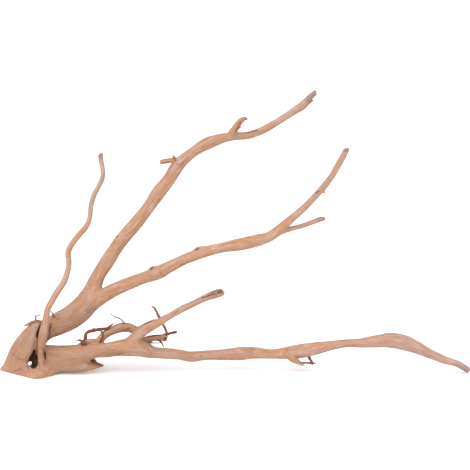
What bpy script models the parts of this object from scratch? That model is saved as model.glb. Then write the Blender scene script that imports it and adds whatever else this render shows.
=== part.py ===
"""A branched piece of bogwood that stands on its sawn heel and on the tip of its long low branch.

The wood is parted at its main forks. Every limb is a tapering loft along a smooth route, and a
limb that grows out of another is cut to the surface of that other one. Lengths are in
millimetres up to the point where a mesh is made, and the object is built in metres.
"""

import math

import bmesh
import bpy
import numpy as np
from mathutils import Matrix, Vector

MM = 0.001
GAP = 0.3
DEPTH = Vector((0, 1, 0))
UPRIGHT = Vector((0, 0, 1))

# Driving sizes of the whole piece
HEEL_LEFT = Vector((-49, 5, 0))
HEEL_FRONT = Vector((1, -36, 0))
SAW_LEAN = math.radians(21)
BLOCK = 1200

# Sides of a limb's section, and how far apart its sections are, counted in its own radii
STOUT_SIDES = 12
TWIG_SIDES = 8
ROOTLET_SIDES = 6
STOUT_PITCH = 1.5
TWIG_PITCH = 2.4
ROOTLET_PITCH = 4.0

# A route is a list of rows: x, y, z and the radius, and where the section isn't as deep as it is
# tall, the depth as a share of that radius. The rows run from the root end to the tip.
LOW_RUN = [
    (13, -1, 21, 16), (27, -2, 20, 16.5), (45, -5, 21, 17), (64, -7, 25, 14.5), (83, -8, 30, 11.5),
    (101, -9, 33, 10.2), (120, -9, 35, 11.5), (138, -8, 34, 11.8), (151, -6, 29, 8.9),
    (161, -5, 27, 7.3), (185, -2, 24, 7.1), (203, 1, 20, 7.1), (224, 4, 21, 6.6), (245, 7, 21, 7.1),
    (267, 8, 22, 8.3), (288, 7, 23, 7.6), (309, 5, 22, 6.5), (330, 3, 24, 7.9), (346, 1, 27, 8.9),
    (367, -1, 31, 8.4), (385, -3, 35, 6.3), (406, -5, 39, 5.1), (427, -7, 40, 5.8),
    (448, -8, 43, 8.0, 0.8), (466, -8, 45, 10.0, 0.6), (482, -7, 42, 10.2, 0.6),
    (501, -6, 35, 8.4, 0.7), (519, -5, 25, 6.5, 0.9), (538, -5, 17, 5.5), (553, -7, 12, 4.6),
    (569, -7, 4.2, 4.2),
]
LOW_FORK = 8
HIGH_RUN = [
    (3, 12, 37, 8), (11, 10, 49, 10.4), (27, 8, 61, 14.6), (44, 8, 71, 15.4),
    (60, 9, 84, 15.8), (72, 11, 100, 14.6), (78, 13, 116, 10.6),
    (85, 15, 130, 9.6), (96, 17, 148, 9.4), (110, 20, 171, 9.0), (129, 24, 192, 9.1),
    (146, 28, 214, 8.5), (160, 32, 233, 9.2), (175, 36, 251, 8.8), (189, 40, 270, 8.9),
    (206, 43, 286, 7.4), (225, 46, 298, 8.2), (246, 49, 304, 6.9), (261, 52, 306, 6.0),
    (280, 55, 307, 5.4), (298, 59, 313, 5.4), (317, 63, 323, 5.0), (335, 67, 334, 5.0),
    (351, 70, 346, 5.4), (360, 72, 353, 4.9), (366, 74, 359, 3.6),
]
HIGH_FORK = 6
MIDDLE_BRANCH = [
    (60, 9, 84, 11), (75, 7, 94, 11.6), (91, 5, 103, 9.4), (107, 0, 113, 8.6), (126, -5, 122, 8.1), (144, -9, 130, 7.9),
    (163, -13, 137, 9.0), (181, -17, 148, 7.6), (202, -20, 159, 7.1), (223, -23, 167, 6.4),
    (246, -25, 173, 6.2), (269, -26, 178, 7.4), (290, -26, 183, 7.3), (305, -27, 188, 7.1),
    (319, -29, 199, 6.5), (334, -32, 212, 5.2), (352, -36, 229, 4.7), (369, -41, 249, 4.6),
    (383, -46, 268, 4.3), (392, -50, 285, 4.4), (399, -53, 299, 3.5), (401, -54, 304, 2.3),
]
SIDE_TWIG = [
    (309, -28, 190, 4.7), (328, -26, 197, 3.5), (346, -22, 201, 3.1), (362, -18, 205.5, 3.0),
    (371, -15, 208.5, 3.0), (377, -14, 208.5, 2.1),
]
SHOOT = [
    (7, -19, 8, 6.5), (9, -22, 25, 6.2), (12, -24, 42, 5.9), (15, -24, 60, 5.6), (18, -24, 76, 5.2),
    (19, -23, 88, 4.8), (24, -21, 99, 4.5), (31, -18, 112, 4.5), (39, -14, 124, 4.3),
    (44, -10, 137, 4.1), (46, -7, 149, 4.0), (45, -4, 162, 4.3), (50, -1, 173, 4.2), (60, 2, 185, 4.0),
    (69, 5, 196, 3.8), (73, 9, 208, 3.4), (74, 12, 220, 3.4), (78, 16, 234, 3.5), (84, 20, 245, 3.3),
    (89, 24, 256, 3.4), (89, 27, 267, 3.3), (87, 30, 277, 3.3), (86, 32, 284, 2.9),
]
SHORT_BRANCH = [
    (126, -9, 42, 9.0), (138, -14, 56, 7.5), (152, -19, 65, 6.5), (166, -24, 75, 5.3), (181, -29, 85.5, 4.4),
    (195, -35, 95, 4.5), (210, -41, 103.5, 4.3), (224, -47, 112, 4.6), (236, -52, 118, 5.4),
    (244, -56, 122, 4.7),
]
BENT_ROOT = [
    (81, -1, 37, 5.6), (88, 5, 47, 5.2), (99, 9, 53, 5.6), (112, 12, 57, 6.3), (123, 12, 56.5, 6.0),
    (133, 8, 54, 5.3), (146, 0, 62, 4.9), (157, -8, 70, 3.6),
]
SNAG = [(133, 3, 37, 6.2), (148, 9, 42, 4.6), (159, 12, 43, 4.1), (172, 15, 41, 4.5)]

# Parts of the stump: the slanting lobe, the heel under it and the web behind the slit
LOBE = [
    (5, 6, 66, 3.6), (-2, 6, 59, 6.8, 1.1), (-9, 6, 48, 11.2), (-17, 6, 34, 13.9, 0.95),
    (-24, 6, 19, 15.4, 0.95), (-31, 6, -4, 18, 0.95),
]
HEEL = [
    (-46, 7, -1, 6), (-30, 4, 1, 13, 1.6), (-8, -5, 1, 13.5, 2.15), (8, -7, 2, 12.5, 2.3),
    (24, -5, 11, 12.5, 1.2), (40, -4, 17, 11),
]
WEB = [(-3, 14, 10, 13, 0.8), (-1, 14, 36, 12, 0.7), (6, 13, 56, 8.5, 0.7), (9, 11, 65, 4)]
BRIDGE = [(0, 2, 34, 5), (2, -6, 43, 6.5), (4, -6, 50, 6), (5, 4, 56, 5)]
SPUR = [(2, 6, 65, 3.4), (-7, 4, 65.5, 2.6), (-11, 1, 64, 1.5), (-13, -1, 63, 1.0), (-16, -2, 62, 0.7)]
CURL = [(1, 5, 66, 1.2), (-0.3, 3, 73, 0.8), (-0.5, 2, 76, 0.7), (-2, 1, 78.5, 0.6)]
CURL_TIP = [(-0.6, 2.2, 75, 0.6), (2.3, 1, 76, 0.6), (5, 0, 76.2, 0.7), (5.7, 0, 78, 0.6)]

# Small growths, each fused to the limb that carries it
LEFT_STUB = [(194, 40, 273, 4.0), (183, 38, 276.5, 3.5), (172, 35, 276, 3.3), (165, 33, 275, 2.9)]
RIGHT_STUB = [(253, 50, 304, 4.6), (261, 47, 315, 4.9), (268, 44, 326, 4.1), (274, 42, 331, 2.9), (278, 41, 330, 1.2)]
HOOK = [(330, 0, 27, 6.4), (338, -3, 19, 5.3), (345, -5, 14, 3.3), (352, -6, 11, 1.9)]
HOOK_ROOTLET = [(346, -5, 12.5, 1.8), (356, -4, 13, 1.2), (363, -3, 12, 1.3), (369, -2, 12, 1.0)]
HOOK_PRONG = [(356, -2, 28, 2.4), (360, -3, 19, 2.0), (364, -3, 13, 1.6)]
SHARD = [(34, -8, 15, 10.5), (51, -10, 12, 10), (68, -11, 12, 8), (81, -12, 12, 4.4), (90, -13, 12, 1.2)]
MOUND = [(58, -4, 35, 5), (66, -3, 40, 4.2), (74, -2, 41, 4.4), (82, 0, 40, 4.2), (88, 1, 35, 4)]
CURLED_ROOT = [
    (60, -4, 32, 3.6), (65, -2, 46, 2.3), (67, -1, 53, 2.1), (76, 1, 56, 2.2), (86, 3, 57, 1.8),
    (94, 4, 58, 2.0), (98, 5, 61, 1.6), (103, 6, 65, 0.9),
]
CURLED_DROP = [(84, 3, 57, 1.2), (88, 1, 51, 1.0), (87, -2, 45, 1.0), (82, -5, 36, 1.2)]
KNUCKLE = [(75, -5, 33, 5), (82, -7, 45, 3.0), (86, -9, 51, 2.2)]
LEFT_SPIKE = [(66, -8, 36, 3.0), (60, -10, 45, 1.8), (54, -12, 45, 0.9)]
HAIR = [(118, 11, 58, 1.0), (112, 7, 69, 0.7), (102, 3, 75, 0.6), (97, 1, 81, 0.5)]
TOP_ROOTLET = [(166, -24, 74, 2.0), (162, -20, 82, 1.4), (159, -18, 87, 1.2), (157, -17, 91, 1.1), (154, -16, 92, 0.8)]
UNDER_ROOTLET = [(166, -24, 74, 1.8), (170, -14, 64, 1.3), (172, -4, 55, 1.1), (172, 4, 49, 1.1)]
SNAG_TWIG = [(160, 13, 43, 2.4), (171, 17, 46, 1.9), (183, 19, 48, 1.7)]
HANGING_ROOTLET = [(158, 12, 41, 1.5), (164, 8, 38, 1.1), (167, 6, 33, 0.8)]
HANGING_HAIR = [(144, 7, 39, 1.2), (154, 4, 38, 0.8), (163, 3, 38, 0.7)]
BACK_ROOTLET = [(24, 5, 70, 1.4), (23.5, -3, 78, 1.0), (23, -8, 82, 0.8), (21, -13, 86, 0.7)]

# Hollows of the stump: centre, half sizes along X, Y and Z, and the lean about the depth
MAIN_HOLLOW = ((-3, -20, 23), (5.6, 16, 10.5), math.radians(24))
SLIT = ((7, -8, 58), (3, 14, 10.5), math.radians(16))
CREASE_HOLE = ((12.6, -16, 26), (1.9, 9, 5), math.radians(-14))
BACK_ARCH = ((-9, 33, 1), (7, 17, 9), 0)
TUNNEL = [(-8, -12, 14, 3.2), (-12, 28, 2.4, 3.2)]

# Colour, roughness and metallic value of each piece
WOOD = {
    "stump": (0.62, 0.36, 0.23), "upper_stem": (0.60, 0.33, 0.20), "tall_branch": (0.64, 0.37, 0.24),
    "middle_branch": (0.63, 0.35, 0.22), "side_twig": (0.62, 0.36, 0.25), "shoot": (0.66, 0.41, 0.29),
    "lower_stem": (0.61, 0.34, 0.21), "long_branch": (0.65, 0.39, 0.26), "short_branch": (0.60, 0.34, 0.20),
    "bent_root": (0.56, 0.30, 0.17), "snag": (0.48, 0.24, 0.14),
}
WOOD_ROUGHNESS = 0.75


def rows_of(route):
    """The route's rows as an array with the depth share filled in."""
    return np.array([row if len(row) == 5 else (*row, 1.0) for row in route], float)


def smooth_rows(rows, pitch):
    """Rows along the smooth curve through the given rows, about pitch radii apart."""
    padded = np.vstack([2 * rows[0] - rows[1], rows, 2 * rows[-1] - rows[-2]])
    dense = []
    for i in range(1, len(padded) - 2):
        before, start, end, after = padded[i - 1:i + 3]
        length = np.linalg.norm(end[:3] - start[:3])
        steps = max(1, round(length / (pitch * (start[3] + end[3]) / 2)))
        for t in np.arange(steps) / steps:
            bend = (
                2 * start
                + (end - before) * t
                + (2 * before - 5 * start + 4 * end - after) * t**2
                + (3 * start - before - 3 * end + after) * t**3
            )
            dense.append(bend / 2)
    dense.append(rows[-1])
    return np.array(dense)


def frames_along(dense):
    """For each row its tangent, and the two axes of its section, the first one nearest the depth."""
    tangents = [Vector(v).normalized() for v in np.gradient(dense[:, :3], axis=0)]
    aside = (DEPTH - DEPTH.dot(tangents[0]) * tangents[0]).normalized()
    frames = []
    for tangent in tangents:
        aside = (aside - aside.dot(tangent) * tangent).normalized()
        frames.append((tangent, aside, tangent.cross(aside)))
    return frames


def uneven(angle, turn):
    """The share by which a section swells at an angle, so that no limb is a true round."""
    return 1 + 0.06 * math.cos(2 * angle + 0.45 * turn) + 0.04 * math.cos(3 * angle - 0.6 * turn + 1)


def add_limb(mesh, route, sides, pitch, tip="round", grow=0.0):
    """Adds one closed tapering limb. The tip is round, broken or pointed, and grow thickens it all."""
    dense = smooth_rows(rows_of(route), pitch)
    frames = frames_along(dense)
    rings = []
    for turn, (row, (tangent, aside, across)) in enumerate(zip(dense.tolist(), frames)):
        ring = []
        for side in range(sides):
            angle = 2 * math.pi * side / sides
            reach = row[3] * uneven(angle, turn) + grow
            offset = math.cos(angle) * row[4] * reach * aside + math.sin(angle) * reach * across
            if tip == "broken" and turn == len(dense) - 1:
                offset += tangent * row[3] * 0.6 * math.sin(2.4 * side)
            ring.append(mesh.verts.new((Vector(row[:3]) + offset) * MM))
        rings.append(ring)
    for near, far in zip(rings, rings[1:]):
        for side in range(sides):
            after = (side + 1) % sides
            mesh.faces.new((near[side], near[after], far[after]))
            mesh.faces.new((near[side], far[after], far[side]))
    tangent = frames[-1][0]
    end = Vector(dense[-1][:3])
    reach = {"round": 0.6, "broken": -0.3, "pointed": 2.0}[tip] * float(dense[-1][3]) + grow
    apex = mesh.verts.new((end + tangent * reach) * MM)
    root = mesh.verts.new((Vector(dense[0][:3]) - frames[0][0] * grow) * MM)
    for side in range(sides):
        after = (side + 1) % sides
        mesh.faces.new((rings[-1][side], rings[-1][after], apex))
        mesh.faces.new((rings[0][after], rings[0][side], root))


def object_of(name, mesh, origin=Vector((0, 0, 0))):
    """An object with this bmesh, whose own origin is moved to the given place in millimetres."""
    bmesh.ops.recalc_face_normals(mesh, faces=mesh.faces)
    bmesh.ops.translate(mesh, verts=mesh.verts, vec=-origin * MM)
    data = bpy.data.meshes.new(name)
    mesh.to_mesh(data)
    mesh.free()
    made = bpy.data.objects.new(name, data)
    made.location = origin * MM
    bpy.context.scene.collection.objects.link(made)
    bpy.context.view_layer.update()
    return made


def limb(name, route, sides=STOUT_SIDES, pitch=STOUT_PITCH, tip="round", grow=0.0):
    """One limb as an object whose origin is the root end of its route."""
    mesh = bmesh.new()
    add_limb(mesh, route, sides, pitch, tip, grow)
    return object_of(name, mesh, Vector(route[0][:3]))


def rootlet(route, tip="pointed"):
    return limb("rootlet", route, ROOTLET_SIDES, ROOTLET_PITCH, tip)


def twig(route, tip="round"):
    return limb("twig", route, TWIG_SIDES, TWIG_PITCH, tip)


def join(target, tool, operation):
    """Applies a Boolean of the tool to the target and removes the tool."""
    modifier = target.modifiers.new("join", "BOOLEAN")
    modifier.operation = operation
    modifier.solver = "EXACT"
    modifier.object = tool
    bpy.context.view_layer.objects.active = target
    bpy.ops.object.modifier_apply(modifier=modifier.name)
    bpy.data.objects.remove(tool)


def fuse(target, *tools):
    for tool in tools:
        join(target, tool, "UNION")


def cut(target, *tools):
    for tool in tools:
        join(target, tool, "DIFFERENCE")


def hollow(centre, halves, lean):
    """An ellipsoid cutter."""
    mesh = bmesh.new()
    place = Matrix.Translation(Vector(centre) * MM) @ Matrix.Rotation(lean, 4, "Y")
    stretch = Matrix.Diagonal((*(half * MM for half in halves), 1))
    bmesh.ops.create_uvsphere(mesh, u_segments=12, v_segments=8, radius=1, matrix=place @ stretch)
    return object_of("hollow", mesh)


def saw(point, outward):
    """A block cutter with one face through the point, on the side that the outward direction names."""
    mesh = bmesh.new()
    turn = Vector(outward).to_track_quat("Z", "Y").to_matrix().to_4x4()
    place = Matrix.Translation(Vector(point) * MM) @ turn @ Matrix.Translation((0, 0, BLOCK / 2 * MM))
    bmesh.ops.create_cube(mesh, size=BLOCK * MM, matrix=place)
    return object_of("saw", mesh)


def ground():
    return saw((0, 0, 0), -UPRIGHT)


def grown(*routes):
    """Cutters of the limbs on these routes, thicker by the gap that a fork keeps."""
    return [limb("grown", route, grow=GAP) for route in routes]


def grown_shoot():
    return limb("grown", SHOOT, TWIG_SIDES, TWIG_PITCH, grow=GAP)


def parted(run, fork, names, tip="round"):
    """The two limbs of one run, sawn through at the fork's row with the gap left between them."""
    here, after = (Vector(row[:3]) for row in run[fork:fork + 2])
    along = (after - here).normalized()
    root_part, tip_part = (limb(name, run, tip=tip) for name in names)
    cut(root_part, saw(here, along))
    cut(tip_part, saw(here + along * GAP, -along))
    return root_part, tip_part


def finish(obj):
    """Gives a piece its own wood colour, smooth shading and a place under the common root."""
    wood = bpy.data.materials.new(obj.name)
    wood.use_nodes = True
    shader = wood.node_tree.nodes["Principled BSDF"]
    shader.inputs["Base Color"].default_value = (*WOOD[obj.name], 1)
    shader.inputs["Roughness"].default_value = WOOD_ROUGHNESS
    shader.inputs["Metallic"].default_value = 0
    obj.data.materials.clear()
    obj.data.materials.append(wood)
    obj.data.shade_smooth()
    obj.data.set_sharp_from_angle(angle=math.radians(50))
    return obj


def make_stump():
    stump = limb("stump", LOBE)
    fuse(stump, limb("heel", HEEL), limb("web", WEB), limb("bridge", BRIDGE))
    sawn = (HEEL_FRONT - HEEL_LEFT).cross(UPRIGHT).normalized()
    cut(stump, ground(), saw(HEEL_FRONT, sawn * math.cos(SAW_LEAN) + UPRIGHT * math.sin(SAW_LEAN)))
    cut(stump, hollow(*MAIN_HOLLOW), hollow(*SLIT), hollow(*BACK_ARCH), limb("tunnel", TUNNEL))
    fuse(stump, twig(SPUR, "pointed"), rootlet(CURL), rootlet(CURL_TIP))
    return stump


def make_shoot():
    shoot = limb("shoot", SHOOT, TWIG_SIDES, TWIG_PITCH, "broken")
    cut(shoot, *grown(HEEL, LOBE, BRIDGE))
    return shoot


def make_upper_stem_and_tall_branch():
    stem, branch = parted(HIGH_RUN, HIGH_FORK, ("upper_stem", "tall_branch"), "broken")
    fuse(stem, rootlet(BACK_ROOTLET))
    cut(stem, *grown(HEEL, LOBE, WEB, BRIDGE), grown_shoot())
    fuse(branch, twig(LEFT_STUB), twig(RIGHT_STUB, "pointed"))
    return stem, branch


def make_middle_branch():
    branch = limb("middle_branch", MIDDLE_BRANCH)
    cut(branch, *grown(HIGH_RUN))
    return branch


def make_side_twig():
    side = limb("side_twig", SIDE_TWIG, TWIG_SIDES, TWIG_PITCH)
    cut(side, *grown(MIDDLE_BRANCH))
    return side


def make_lower_stem_and_long_branch():
    stem, branch = parted(LOW_RUN, LOW_FORK, ("lower_stem", "long_branch"))
    fuse(stem, limb("shard", SHARD, tip="pointed"), twig(CURLED_ROOT, "pointed"), rootlet(CURLED_DROP))
    fuse(stem, twig(MOUND), twig(KNUCKLE), rootlet(LEFT_SPIKE))
    cut(stem, *grown(HEEL, LOBE, WEB, BRIDGE, HIGH_RUN), grown_shoot(), hollow(*CREASE_HOLE), ground())
    fuse(branch, twig(HOOK), rootlet(HOOK_ROOTLET), rootlet(HOOK_PRONG))
    cut(branch, ground())
    return stem, branch


def make_short_branch():
    branch = limb("short_branch", SHORT_BRANCH, tip="broken")
    fuse(branch, rootlet(TOP_ROOTLET), rootlet(UNDER_ROOTLET))
    cut(branch, *grown(LOW_RUN))
    return branch


def make_bent_root():
    root = limb("bent_root", BENT_ROOT)
    fuse(root, rootlet(HAIR))
    cut(root, *grown(LOW_RUN, SHORT_BRANCH, MOUND, KNUCKLE, CURLED_ROOT, CURLED_DROP))
    return root


def make_snag():
    snag = limb("snag", SNAG, tip="broken")
    fuse(snag, twig(SNAG_TWIG), rootlet(HANGING_ROOTLET), rootlet(HANGING_HAIR))
    cut(snag, *grown(LOW_RUN, SHORT_BRANCH, BENT_ROOT))
    return snag


def main():
    for old in list(bpy.data.objects):
        bpy.data.objects.remove(old)
    pieces = [
        make_stump(), make_shoot(), *make_upper_stem_and_tall_branch(), make_middle_branch(),
        make_side_twig(), *make_lower_stem_and_long_branch(), make_short_branch(), make_bent_root(),
        make_snag(),
    ]
    bogwood = bpy.data.objects.new("bogwood", None)
    bpy.context.scene.collection.objects.link(bogwood)
    for piece in pieces:
        finish(piece).parent = bogwood


main()
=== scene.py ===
"""A branched piece of bare bogwood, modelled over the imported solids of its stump, stems and branches.

The limbs follow the same routes as the solids. They are grown together into one closed skin, whose
surface is then moved onto a smooth distance field, so that the forks run into each other as grown
wood does. Hair rootlets are fine strands in a mesh of their own. Routes are in millimetres, and
meshes are in metres.
"""

import math

import bpy
import numpy as np
from mathutils import Euler, Matrix, Vector, noise
from mathutils.bvhtree import BVHTree


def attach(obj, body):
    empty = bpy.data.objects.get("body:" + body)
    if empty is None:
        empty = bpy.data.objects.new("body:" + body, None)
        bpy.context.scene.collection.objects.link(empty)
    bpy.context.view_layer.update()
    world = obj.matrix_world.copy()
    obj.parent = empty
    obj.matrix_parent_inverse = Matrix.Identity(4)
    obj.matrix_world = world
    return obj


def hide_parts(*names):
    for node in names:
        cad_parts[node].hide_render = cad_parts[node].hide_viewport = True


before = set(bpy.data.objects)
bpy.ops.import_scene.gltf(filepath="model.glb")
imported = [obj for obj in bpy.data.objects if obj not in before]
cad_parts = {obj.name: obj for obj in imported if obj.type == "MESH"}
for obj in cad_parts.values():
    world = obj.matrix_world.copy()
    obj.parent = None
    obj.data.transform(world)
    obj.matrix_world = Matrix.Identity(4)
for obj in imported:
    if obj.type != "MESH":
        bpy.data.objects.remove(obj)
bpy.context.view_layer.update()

bl_info = {
    "name": "Bogwood",
    "version": (1, 0, 0),
    "blender": (4, 5, 0),
    "location": "3D View > Sidebar > Bogwood",
    "description": "Models a branched piece of bare bogwood over its packed solids",
    "category": "Add Mesh",
}

MM = 0.001

# A route is a list of rows: x, y, z and the radius, and where the section isn't as deep as it is
# tall, the depth as a share of that radius. The rows run from the root end to the tip.
LOW_RUN = [
    (13, -1, 21, 16), (27, -2, 20, 16.5), (45, -5, 21, 17), (64, -7, 25, 14.5), (83, -8, 30, 11.5),
    (101, -9, 33.4, 10.0), (120, -9, 35.8, 11.9), (138, -8, 34.4, 11.9), (151, -6, 29, 8.9),
    (161, -5, 27, 7.3), (185, -2, 24, 7.1), (203, 1, 20, 7.1), (224, 4, 21, 6.6), (245, 7, 21, 7.1),
    (267, 8, 22, 8.7), (288, 7, 23.4, 8.0), (309, 5, 22.4, 6.4), (330, 3, 24.8, 7.9), (346, 1, 27.6, 9.0),
    (367, -1, 31.8, 8.6), (385, -3, 36, 6.6), (406, -5, 40, 5.4), (427, -7, 41, 6.3),
    (448, -8, 43.4, 8.6, 0.8), (466, -8, 45.4, 10.9, 0.6), (482, -7, 42, 10.8, 0.6),
    (500.6, -6, 34.2, 8.9, 0.7), (519, -5, 25, 6.5, 0.9), (538, -5, 17, 5.5), (553.8, -7, 12.8, 4.7),
    (569, -7, 4.2, 4.2),
]
HIGH_RUN = [
    (3, 12, 37, 8), (11, 10, 49, 10.4), (27, 8, 61, 15.0), (44.5, 8, 70.2, 15.7),
    (60.8, 9, 83.2, 16.0), (72.6, 11, 99.6, 15.0), (77.6, 13, 116.4, 10.4),
    (84.6, 15, 130.2, 9.3), (96, 17, 147.9, 9.4), (111, 20, 170.3, 9.1), (129.4, 24, 191.8, 8.9),
    (146.9, 28, 213.5, 8.4), (160.2, 32, 232.9, 9.3), (175.4, 36, 250.8, 8.6), (188.2, 40, 270.6, 8.8),
    (206, 43, 286, 7.1), (225.4, 46, 297.4, 8.3), (246, 49, 304, 6.9), (261, 52, 306, 6.0),
    (280, 55, 307, 5.4), (298, 59, 313, 5.4), (317, 63, 323, 5.0), (335, 67, 334, 5.0),
    (351.8, 70, 344.6, 6.1), (356, 71, 347.8, 5.0),
]
TALL_SPLINTER = [(352, 70, 346.6, 4.4), (360, 72, 354, 4.0), (369, 74, 361.6, 3.5)]
LOW_SPLINTER = [(351, 70, 343, 3.4), (358.5, 72, 347.6, 2.7), (364.6, 74, 351, 2.0)]
MIDDLE_BRANCH = [
    (60, 9, 84, 11), (75, 7, 94, 11.6), (91, 5, 103, 9.4), (107, 0, 113, 8.6), (126, -5, 122, 8.1),
    (144, -9, 129.6, 7.5), (162.6, -13, 137, 8.6), (181, -17, 148, 7.6), (202, -20, 159, 7.1),
    (223, -23, 167, 7.2), (246, -25, 172.8, 6.9), (269, -26, 177.6, 8.4), (290, -26, 182.6, 8.8),
    (305.4, -27, 187.4, 7.4), (319.8, -29, 198.3, 6.4), (334, -32, 212, 5.2), (352, -36, 229, 4.7),
    (369, -41, 249, 4.6), (383, -46, 268, 4.3), (392, -50, 285, 4.4), (399, -53, 299, 4.2),
    (402.3, -54.4, 306.8, 3.9),
]
SIDE_TWIG = [
    (309, -28, 189.6, 4.7), (328, -26, 196.4, 3.7), (346, -22, 200.3, 3.2), (362, -18, 205, 3.4),
    (371, -15, 208, 3.6), (377, -14, 209, 2.8),
]
SHOOT = [
    (9, -19, 6, 6.2), (8.6, -20, 20, 4.4), (8.3, -21, 33, 4.2), (10.3, -22.5, 46, 5.4),
    (11.8, -23.5, 56, 6.0), (14.7, -24, 67, 6.0), (16.8, -24, 80, 4.8), (19, -23, 91, 4.3),
    (24, -21, 100, 4.3), (31, -18, 112, 4.4), (39, -14, 124, 4.3),
    (44, -10, 137, 4.1), (46, -7, 149, 4.0), (45, -4, 162, 4.3), (50, -1, 173, 4.2),
    (60, 2, 185, 4.0), (69, 5, 196, 3.8), (73, 9, 208, 3.4), (74, 12, 220, 3.4),
    (78, 16, 234, 3.5), (84, 20, 245, 3.3), (89, 24, 256, 3.4), (89, 27, 267, 3.3),
    (87, 30, 277, 3.4), (86.3, 32.3, 286.5, 3.2),
]
SHORT_BRANCH = [
    (126, -9, 42, 9.0), (138, -14, 56, 7.5), (151.6, -19, 66, 6.6), (165.8, -24, 75.5, 5.4),
    (181, -29, 85.5, 4.4), (195, -35, 95, 4.5), (210, -41, 103.5, 4.3), (224, -47, 112, 4.7),
    (236, -52, 118, 5.7), (245, -56, 122, 5.3),
]
BENT_ROOT = [
    (81, -1, 37, 5.6), (88, 5, 47, 5.2), (99, 9, 53, 5.6), (112, 12, 57, 6.3), (123, 12, 56.5, 6.0),
    (133, 8, 54, 5.3), (146, 0, 62, 4.9), (157, -8, 70, 3.6),
]
SNAG = [(133, 3, 37, 6.2), (148, 9, 42, 4.6), (159, 12, 43, 4.1), (172, 15, 41, 4.5)]
LOBE = [
    (5, 6, 66, 3.6), (-2, 6, 59, 6.8, 1.1), (-9, 6, 48, 11.2), (-17, 6, 34, 13.9, 0.95),
    (-24, 6, 19, 15.4, 0.95), (-31, 6, -4, 18, 0.95),
]
HEEL = [
    (-46, 7, -1, 6), (-30, 4, 1, 13, 1.6), (-8, -5, 1, 13.5, 2.15), (8, -7, 2, 12.5, 2.3),
    (24, -5, 11, 12.5, 1.2), (40, -4, 17, 11),
]
WEB = [(-3, 14, 10, 13, 0.8), (-1, 14, 36, 12, 0.7), (6, 13, 56, 8.5, 0.7), (9, 11, 65, 4)]
CHEEK = [
    (5, -2, 64, 3.5), (2, -5, 56, 6.5), (-2, -8, 45, 9.5), (-6, -9, 33, 11), (-13, -8, 20, 12),
    (-20, -5, 6, 12),
]
SPUR = [(2, 6, 66, 3.2), (-5, 5, 65.6, 2.5), (-10, 4, 63.8, 1.9), (-13.5, 3.5, 62, 1.3)]
LEFT_STUB = [(194, 40, 273, 4.0), (183, 38, 276.5, 3.5), (172, 35, 276, 3.3), (165, 33, 275, 2.9)]
RIGHT_STUB = [
    (253, 50, 304, 4.6), (261, 47, 315, 4.9), (268, 44, 326, 4.1), (274, 42, 331, 2.9),
    (278, 41, 330, 1.2),
]
HOOK = [(330, 0, 27, 6.4), (338, -3, 19, 5.3), (345, -5, 14, 3.3), (352, -6, 11, 1.9)]
SHARD = [
    (34, -8, 15, 10.5), (51, -10, 12, 10), (68, -11, 12, 8), (81, -12, 12, 4.4), (90, -13, 12, 1.2),
]
MOUND = [(58, -4, 35, 5), (66, -3, 40, 4.2), (74, -2, 41, 4.4), (82, 0, 40, 4.2), (88, 1, 35, 4)]
KNUCKLE = [(75, -5, 33, 5), (82, -7, 45, 3.0), (86, -9, 51, 2.2)]
NEAR_KNOT = [(150, -11, 135, 4.2), (153.4, -12, 141.6, 3.4), (158, -12, 143.2, 2.6), (163, -12, 144.4, 1.8)]
FAR_KNOT = [(208, -20, 163, 4.2), (212.5, -21, 169.4, 3.6), (217, -21, 171.8, 2.6), (222, -21, 172.8, 1.8)]
RIGHT_BARB = [(264, 44, 319, 3), (268, 42, 319.4, 1.6), (270.4, 41.6, 318.6, 0.8)]
LEFT_BARB = [(184, 37, 277, 3), (182, 35, 281.4, 1.9), (179.8, 34.6, 284, 0.9)]
TIP_KNOT = [(370, -43, 252, 3), (374, -44, 249.6, 2.4), (376, -44, 248.6, 1.2)]

# Every limb of the skin: its route, the slant of its broken end (none where it ends rounded), the
# limb whose grain it follows, the layer that this grain is kept in and how widely it runs into its
# neighbours. Limbs that touch and follow different grains are in different layers. The shoot comes
# last, because it grows past the saw cut and the hollows.
LIMBS = {
    "low_run": (LOW_RUN, None, "low_run", 0, 1),
    "high_run": (HIGH_RUN, None, "high_run", 1, 1),
    "middle_branch": (MIDDLE_BRANCH, -0.75, "middle_branch", 0, 1),
    "side_twig": (SIDE_TWIG, None, "side_twig", 1, 1),
    "short_branch": (SHORT_BRANCH, -0.8, "short_branch", 1, 1),
    "bent_root": (BENT_ROOT, None, "bent_root", 2, 1),
    "snag": (SNAG, 0.3, "snag", 3, 1),
    "lobe": (LOBE, None, "lobe", 2, 1),
    "heel": (HEEL, None, "low_run", 0, 1),
    "web": (WEB, None, "lobe", 2, 1),
    "cheek": (CHEEK, None, "cheek", 1, 2.4),
    "spur": (SPUR, None, "lobe", 2, 1),
    "left_stub": (LEFT_STUB, None, "left_stub", 0, 1),
    "right_stub": (RIGHT_STUB, None, "right_stub", 0, 1),
    "hook": (HOOK, None, "hook", 1, 1),
    "shard": (SHARD, None, "low_run", 0, 1),
    "mound": (MOUND, None, "low_run", 0, 1),
    "knuckle": (KNUCKLE, None, "low_run", 0, 1),
    "near_knot": (NEAR_KNOT, None, "middle_branch", 0, 1),
    "far_knot": (FAR_KNOT, None, "middle_branch", 0, 1),
    "right_barb": (RIGHT_BARB, None, "right_stub", 0, 1),
    "left_barb": (LEFT_BARB, None, "left_stub", 0, 1),
    "tip_knot": (TIP_KNOT, None, "middle_branch", 0, 1),
    "tall_splinter": (TALL_SPLINTER, 0.5, "high_run", 1, 0.6),
    "low_splinter": (LOW_SPLINTER, -0.5, "high_run", 1, 0.6),
    "shoot": (SHOOT, -0.75, "shoot", 3, 1),
}
LAYERS = 4

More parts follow.
